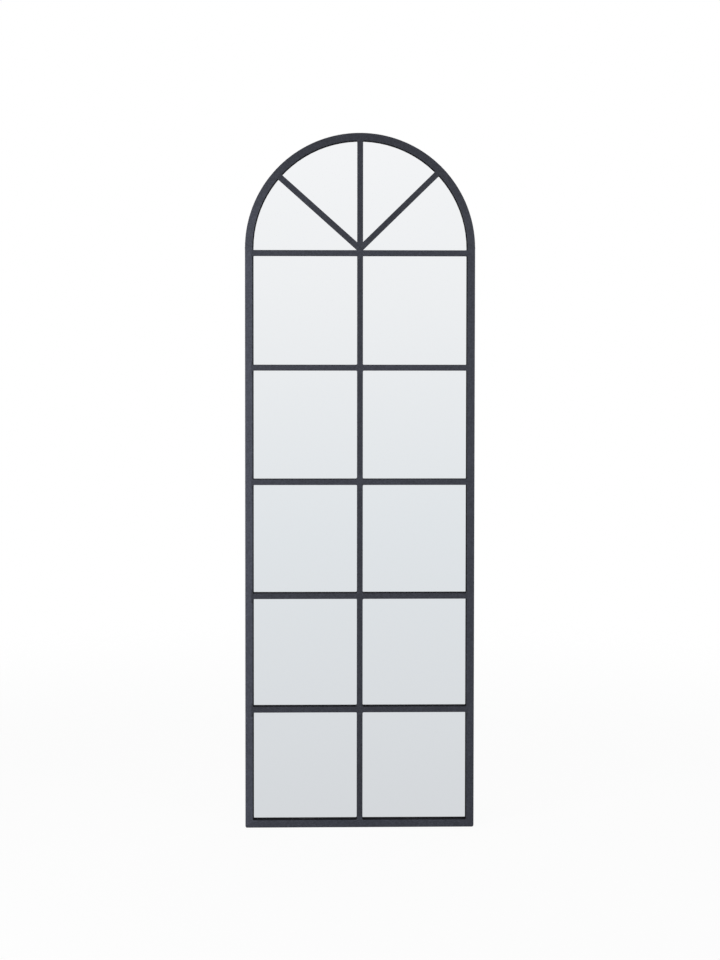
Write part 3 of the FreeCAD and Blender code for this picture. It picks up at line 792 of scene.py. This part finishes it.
@dataclass
class CoatedFrame(SubAssembly):
    """The tube frame and the grid of bars, all in powder coat."""

    # Painted light: the share of the left upright's tone that the arch's left foot takes.
    left_foot_light: float = 0.92

    def coat(self, tone: PaintedLightTone) -> PowderCoat:
        """Give the powder coat at one tone of painted light and shade.

        Args:
            tone: The tone. The arch's runs over into those of the uprights at its feet, where
                the left one's is taken times left_foot_light.

        Returns:
            The coat.
        """
        feet = None
        if tone is PaintedLightTone.ARCH:
            feet = (PaintedLightTone.LEFT.value * self.left_foot_light, PaintedLightTone.RIGHT.value)
        return PowderCoat(name=f"powder_coat_{tone.name.lower()}", tone=tone.value, foot_light_tones=feet)

    def build(self) -> None:
        """Dress each tube and bar in its own tone of painted light and shade."""
        worn = {
            PaintedLightTone.ARCH: ["arch_tube"],
            PaintedLightTone.LEFT: ["left_stile"],
            PaintedLightTone.RIGHT: ["right_stile"],
            PaintedLightTone.RAIL: ["bottom_rail"],
            PaintedLightTone.HIGH_BARS: ["transom_bar", "cross_bar_1", "cross_bar_2"],
            PaintedLightTone.LOW_BARS: ["cross_bar_3", "cross_bar_4"],
            PaintedLightTone.UPRIGHTS: [f"mullion_{row}" for row in range(1, 6)]
            + ["centre_spoke", "left_spoke", "right_spoke"],
        }
        for tone, names in worn.items():
            self.wear(self.coat(tone), names)


@dataclass
class DressedWelds(SubAssembly):
    """The weld metal at every joint: filleted inside corners, ground flush in front.

    Each weld stands proud of the bars that it joins, reaches along them and bites into the tube
    behind them. Its back stays shy of the bars' backs. The seams are the beads round the tube.
    """

    fillet: float = 0.0030
    proud: float = 0.00003
    reach: float = 0.0120
    bite: float = 0.0060
    bar_roll: float = 0.00125
    tube_roll: float = 0.0020
    shy: float = 0.0006
    left_lean: float = math.radians(180 - 41.7)
    right_lean: float = math.radians(44.3)
    hub_rise: float = 0.0035
    hub_across: float = 0.022
    hub_up: float = 0.036
    hub_spoke: float = 0.030
    seam_swell: float = 0.00022
    seam_half: float = 0.0035
    seam_round: float = 0.0009
    waviness: float = 0.00045

    def __post_init__(self) -> None:
        """Read the places of tubes and bars from the model."""
        low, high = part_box("mullion_1")
        self.half_bar = (high.x - low.x) / 2 + self.proud
        self.front = low.y - self.proud
        self.depth = (self.front, high.y - self.shy)
        self.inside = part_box("cross_bar_1")[1].x
        self.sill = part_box("bottom_rail")[1].z
        self.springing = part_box("arch_tube")[0].z
        self.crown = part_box("arch_tube")[1].z - self.sill
        self.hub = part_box("transom_bar")[1].z + self.hub_rise

    def coat(self, tone: PaintedLightTone) -> PowderCoat:
        """The coat over a weld, which shows the weld's waves and its joint's painted light and
        shade.
        """
        return PowderCoat(name=f"weld_coat_{tone.name.lower()}", tone=tone.value,
                          weld_waviness=self.waviness)

    def shape(self, name: str, slabs: Sequence[bpy.types.Object], roll: float,
              tone: PaintedLightTone) -> None:
        """Turn overlapping slabs into one dressed weld.

        Args:
            name: The weld's name.
            slabs: What it is made of, one along each bar that meets there.
            roll: The radius of its front edges.
            tone: The tone of the coat over it.
        """
        weld = Bench.unite(name, slabs)
        Bench.round_inside_corners(weld, self.fillet)
        Bench.roll_front_edges(weld, roll, self.front)
        Bench.close_up(weld)
        self.add(weld, self.coat(tone))

    def limb(self, start: float, end: float, half: float, about: tuple[float, float],
             lean: float) -> bpy.types.Object:
        """One arm of a weld, of a given half width, along a direction from a point."""
        return Bench.slab("limb", (start, end), (-half, half), self.depth, about, lean)

    def crossing(self, name: str, height: float, tone: PaintedLightTone) -> None:
        """The weld where a cross bar passes between two short uprights.

        Args:
            name: The weld's name.
            height: The cross bar's middle, z.
            tone: The tone of the coat over it.
        """
        end = self.half_bar + self.reach
        about = (0.0, height)
        limbs = [self.limb(-end, end, self.half_bar, about, lean)
                 for lean in (0.0, math.pi / 2)]
        self.shape(name, limbs, self.bar_roll, tone)

    def butt(self, name: str, about: tuple[float, float], lean: float, face: float,
             tone: PaintedLightTone) -> None:
        """The weld where a bar's end stands on a frame tube.

        Args:
            name: The weld's name.
            about: The point that the distances are from, x and z.
            lean: The direction towards the tube, in radians above +X.
            face: The tube's inner side, as a distance along that direction.
            tone: The tone of the coat over it.
        """
        end = self.half_bar + self.reach
        bar = self.limb(face - self.reach, face + self.bite, self.half_bar, about, lean)
        tube = self.limb(face - self.proud, face + self.bite, end, about, lean)
        self.shape(name, [tube, bar], self.tube_roll, tone)

    def foot_corner(self, name: str, side: int, tone: PaintedLightTone) -> None:
        """The weld in the inside corner between an upright and the bottom rail.

        Args:
            name: The weld's name.
            side: -1 at the left, 1 at the right.
            tone: The tone of the coat over it.
        """
        about = (side * self.inside, self.sill)
        spans = ((-self.bite, self.reach), (-self.bite, self.proud))
        slabs = []
        for out, up in (spans, spans[::-1]):
            across = out if side < 0 else (-out[1], -out[0])
            slabs.append(Bench.slab("limb", across, up, self.depth, about))
        self.shape(name, slabs, self.tube_roll, tone)

    def hub_weld(self) -> None:
        """The weld where the three spokes, the transom and the first short upright meet."""
        transom_low, transom_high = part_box("transom_bar")
        height = (transom_low.z + transom_high.z) / 2
        across, down = self.half_bar + self.hub_across, self.half_bar + self.reach
        middle, spokes = (0.0, height), (0.0, self.hub)
        limbs = [
            self.limb(-across, across, self.half_bar, middle, 0.0),
            self.limb(-down, self.hub_up, self.half_bar, middle, math.pi / 2),
            self.limb(0.0, self.hub_spoke, self.half_bar, spokes, self.left_lean),
            self.limb(0.0, self.hub_spoke, self.half_bar, spokes, self.right_lean),
        ]
        self.shape("weld_hub", limbs, self.bar_roll, PaintedLightTone.HIGH_BARS)

    def seam(self, name: str, side: int, tone: PaintedLightTone) -> None:
        """The dressed bead round the tube, where the arch stands on an upright.

        Args:
            name: The bead's name.
            side: -1 at the left, 1 at the right.
            tone: The tone of the coat over it.
        """
        low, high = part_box("left_stile" if side < 0 else "right_stile")
        swell = self.seam_swell
        bead = Bench.slab(name, (low.x - swell, high.x + swell), (-self.seam_half, self.seam_half),
                          (low.y - swell, high.y + swell), (0.0, self.springing))
        with Bench.edges(bead) as mesh:
            for edge in mesh.edges:
                a, b = (vertex.co for vertex in edge.verts)
                edge.select_set(abs(a.z - b.z) > ALONG_AXIS * (a - b).length)
            bmesh.update_edit_mesh(bead.data)
            bpy.ops.mesh.bevel(offset=self.tube_roll + swell, segments=6, affect="EDGES")
        with Bench.edges(bead) as mesh:
            for edge in mesh.edges:
                level = abs(edge.verts[0].co.z - edge.verts[1].co.z) < SAME_PLACE
                caps = [face for face in edge.link_faces if abs(face.normal.z) > 0.9]
                edge.select_set(level and len(caps) == 1)
            bmesh.update_edit_mesh(bead.data)
            bpy.ops.mesh.bevel(offset=self.seam_round, segments=4, affect="EDGES")
        Bench.close_up(bead)
        self.add(bead, self.coat(tone))

    def build(self) -> None:
        """Weld every joint of the frame and its grid."""
        bars = ["transom_bar"] + [f"cross_bar_{row}" for row in range(1, 5)]
        for index, bar in enumerate(bars):
            low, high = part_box(bar)
            height = (low.z + high.z) / 2
            tone = PaintedLightTone.HIGH_BARS if index < 3 else PaintedLightTone.LOW_BARS
            self.butt(f"weld_{bar}_left", (0.0, height), math.pi, self.inside, tone)
            self.butt(f"weld_{bar}_right", (0.0, height), 0.0, self.inside, tone)
            if index:
                self.crossing(f"weld_{bar}_middle", height, tone)
        self.hub_weld()
        self.butt("weld_mullion_foot", (0.0, 0.0), -math.pi / 2, -self.sill, PaintedLightTone.RAIL)
        self.butt("weld_centre_spoke_head", (0.0, 0.0), math.pi / 2, self.crown, PaintedLightTone.ARCH)
        drop = self.springing - self.hub
        for side_name, lean in (("left", self.left_lean), ("right", self.right_lean)):
            rise = math.sin(lean)
            reach = drop * rise + math.sqrt(self.inside ** 2 - (drop * math.cos(lean)) ** 2)
            name = f"weld_{side_name}_spoke_head"
            self.butt(name, (0.0, self.hub), lean, reach, PaintedLightTone.ARCH)
        self.foot_corner("weld_foot_left", -1, PaintedLightTone.LEFT)
        self.foot_corner("weld_foot_right", 1, PaintedLightTone.RIGHT)
        self.seam("weld_seam_left", -1, PaintedLightTone.LEFT)
        self.seam("weld_seam_right", 1, PaintedLightTone.RIGHT)


@dataclass
class Glazing(SubAssembly):
    """The mirror glass, its tape and its setting blocks."""

    def build(self) -> None:
        """Dress the glass and what beds it."""
        self.wear(SilveredGlass(name="silvered_glass"), ["mirror_glass"])
        self.wear(Foam(name="glazing_tape_foam"),
                  ["edge_seal", "cross_bar_tape", "mullion_tape", "spoke_tape"])
        self.wear(Rubber(name="setting_block_rubber"),
                  ["setting_block_left", "setting_block_right"])


@dataclass
class BackPanel(SubAssembly):
    """The board behind the glass, and the turn buttons and screws that hold it."""

    def build(self) -> None:
        """Dress the board, buttons and screws."""
        self.wear(Fibreboard(name="fibreboard_back"), ["backing_board"])
        buttons = [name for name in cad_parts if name.startswith("turn_button_")]
        self.wear(ZincPlate(name="zinc_pressed_steel"), sorted(buttons))


@dataclass
class Hangers(SubAssembly):
    """The D-ring hangers, their screws and the bumpers that keep the foot off the wall."""

    def build(self) -> None:
        """Dress straps, rings, screws and bumpers."""
        self.wear(ZincPlate(name="zinc_strap", colour=(0.52, 0.535, 0.56)),
                  ["hanger_strap_left", "hanger_strap_right", "hanger_screws"])
        self.wear(ZincPlate(name="zinc_wire", colour=(0.60, 0.61, 0.625)),
                  ["d_ring_left", "d_ring_right"])
        self.wear(Rubber(name="bumper_rubber"), ["wall_bumper_left", "wall_bumper_right"])


# ---------------------------------------------------------------- the studio

# The wall that the mirror shows: places from 0, straight down, to 1, straight up, and colours.
WALL_STOPS: tuple[tuple[float, Colour], ...] = (
    (0.20, (0.600, 0.620, 0.640)),
    (0.347, (0.727, 0.736, 0.757)),
    (0.435, (0.823, 0.842, 0.864)),
    (0.505, (0.938, 0.936, 0.945)),
    (0.552, (0.996, 0.986, 0.993)),
    (0.62, (0.93, 0.93, 0.94)),
    (0.78, (0.30, 0.30, 0.31)),
)


@dataclass
class SoftBox:
    """One large soft lamp."""

    name: str
    place: tuple[float, float, float]
    target: tuple[float, float, float]
    size: tuple[float, float]
    power: float

    def light(self) -> None:
        """Hang the lamp and point it."""
        lamp = bpy.data.lights.new(self.name, "AREA")
        lamp.shape = "RECTANGLE"
        lamp.size, lamp.size_y = self.size
        lamp.energy = self.power
        holder = bpy.data.objects.new(self.name, lamp)
        bpy.context.scene.collection.objects.link(holder)
        holder.location = self.place
        aim = Vector(self.target) - Vector(self.place)
        holder.rotation_euler = aim.to_track_quat("-Z", "Y").to_euler()


@dataclass
class Studio:
    """A pale floor, soft lamps, a pale room for the mirror to show, and the camera."""

    floor_half: float = 4.0
    floor_drop: float = 0.0004
    floor_fade: tuple[float, float] = (1.1, 3.2)
    floor_white: float = 0.94
    room_light: float = 0.42
    room_lean: float = 0.05
    camera_place: tuple[float, float, float] = (-0.0812, -4.25, 1.33)
    camera_turn: float = math.radians(1.0899)
    camera_dip: float = math.radians(1.6)
    camera_roll: float = math.radians(0.0577)
    focal_pixels: float = 1626.20
    camera_shift: tuple[float, float] = (0.00012, -0.11791)
    frame_height: int = 960
    sensor: float = 36.0

    def floor(self) -> None:
        """Lay a pale floor that fades out round the mirror and keeps its shadow."""
        Bench.pick()
        place = (0.0, 0.0, -self.floor_drop)
        bpy.ops.mesh.primitive_plane_add(size=2 * self.floor_half, location=place)
        floor = bpy.context.object
        floor.name = "studio_floor"
        paint = bpy.data.materials.new("studio_floor")
        graph = Graph(paint)
        x, y, _z = graph.axes(graph.place())
        distance = (x * x + y * y) ** 0.5
        rays = graph.tree.nodes.new("ShaderNodeLightPath")
        seen = Socket(graph, rays.outputs["Is Camera Ray"])
        mirrored = Socket(graph, rays.outputs["Is Glossy Ray"])
        chalk = graph.node("ShaderNodeBsdfDiffuse", values={"Color": (0.62, 0.62, 0.62)})
        glow = {"Color": (1.0, 1.0, 1.0), "Strength": 1.0}
        white = graph.node("ShaderNodeEmission", values=glow)
        clear = graph.node("ShaderNodeBsdfTransparent")
        share = seen * self.floor_white
        lit = graph.node("ShaderNodeMixShader", values={0: share, 1: chalk, 2: white})
        fade = (distance.between(*self.floor_fade) * seen).larger(mirrored).held()
        graph.finish(graph.node("ShaderNodeMixShader", values={0: fade, 1: lit, 2: clear}))
        floor.data.materials.append(paint)

    def room(self) -> None:
        """Light the room softly: white to the camera, a wall that greys downwards to the mirror."""
        world = bpy.data.worlds.new("studio_room")
        bpy.context.scene.world = world
        graph = Graph(world)
        direction = graph.node("ShaderNodeTexCoord", output="Generated")
        x, _y, z = graph.axes(direction)
        rays = graph.tree.nodes.new("ShaderNodeLightPath")
        seen = Socket(graph, rays.outputs["Is Camera Ray"])
        mirrored = Socket(graph, rays.outputs["Is Glossy Ray"])
        through = Socket(graph, rays.outputs["Is Transmission Ray"])
        height = ((z - x * self.room_lean) * 0.5 + 0.5).held()
        wall = graph.node("ShaderNodeValToRGB", {"stops": WALL_STOPS}, {0: height})
        soft = graph.node("ShaderNodeRGB")
        soft.output.default_value = (0.98, 0.99, 1.0, 1.0)
        tint = graph.mix(mirrored.larger(through), soft, wall)
        tint = graph.mix(seen, tint, (1.0, 1.0, 1.0))
        shown = seen.larger(mirrored).larger(through)
        strength = self.room_light + (1.0 - self.room_light) * shown
        graph.finish(graph.node("ShaderNodeBackground", values={0: tint, 1: strength}),
                     "ShaderNodeOutputWorld")

    def lamps(self) -> None:
        """Hang the lamps: two tall ones in front, and a large one behind."""
        for lamp in (
            SoftBox("lamp_left", (-1.6, -1.5, 1.20), (-0.1, 0.0, 1.1), (0.8, 1.6), 33.0),
            SoftBox("lamp_right", (1.9, -2.0, 1.75), (0.2, 0.0, 1.4), (0.8, 1.2), 26.0),
            SoftBox("lamp_behind", (0.9, 3.2, 2.2), (0.0, 0.0, 0.9), (5.6, 4.4), 85.0),
        ):
            lamp.light()

    def camera(self) -> None:
        """Stand the camera where the photograph was taken from."""
        data = bpy.data.cameras.new("photo_camera")
        data.sensor_width = self.sensor
        data.lens = self.focal_pixels * self.sensor / self.frame_height
        data.shift_x, data.shift_y = self.camera_shift
        data.clip_start, data.clip_end = 0.05, 100.0
        camera = bpy.data.objects.new("photo_camera", data)
        bpy.context.scene.collection.objects.link(camera)
        turned = Matrix.Rotation(-self.camera_turn, 4, "Z")
        dipped = Matrix.Rotation(math.pi / 2 - self.camera_dip, 4, "X")
        rolled = Matrix.Rotation(self.camera_roll, 4, "Z")
        camera.matrix_world = Matrix.Translation(self.camera_place) @ turned @ dipped @ rolled
        bpy.context.scene.camera = camera

    def set_up(self) -> None:
        """Set up the whole studio."""
        bpy.context.scene.view_settings.view_transform = "Standard"
        self.floor()
        self.room()
        self.lamps()
        self.camera()


def main() -> None:
    """Build the sub-assemblies in order, report their pieces and set up the studio."""
    logging.basicConfig(level=logging.INFO, format="%(name)s: %(message)s")
    bare = set(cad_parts)
    for assembly in (CoatedFrame(), DressedWelds(), Glazing(), BackPanel(), Hangers()):
        assembly.build()
        assembly.report()
        bare -= {piece.name for piece in assembly.pieces}
    if bare:
        raise ValueError(f"no finish for {sorted(bare)}")
    Studio().set_up()


if __name__ == "__main__":
    main()
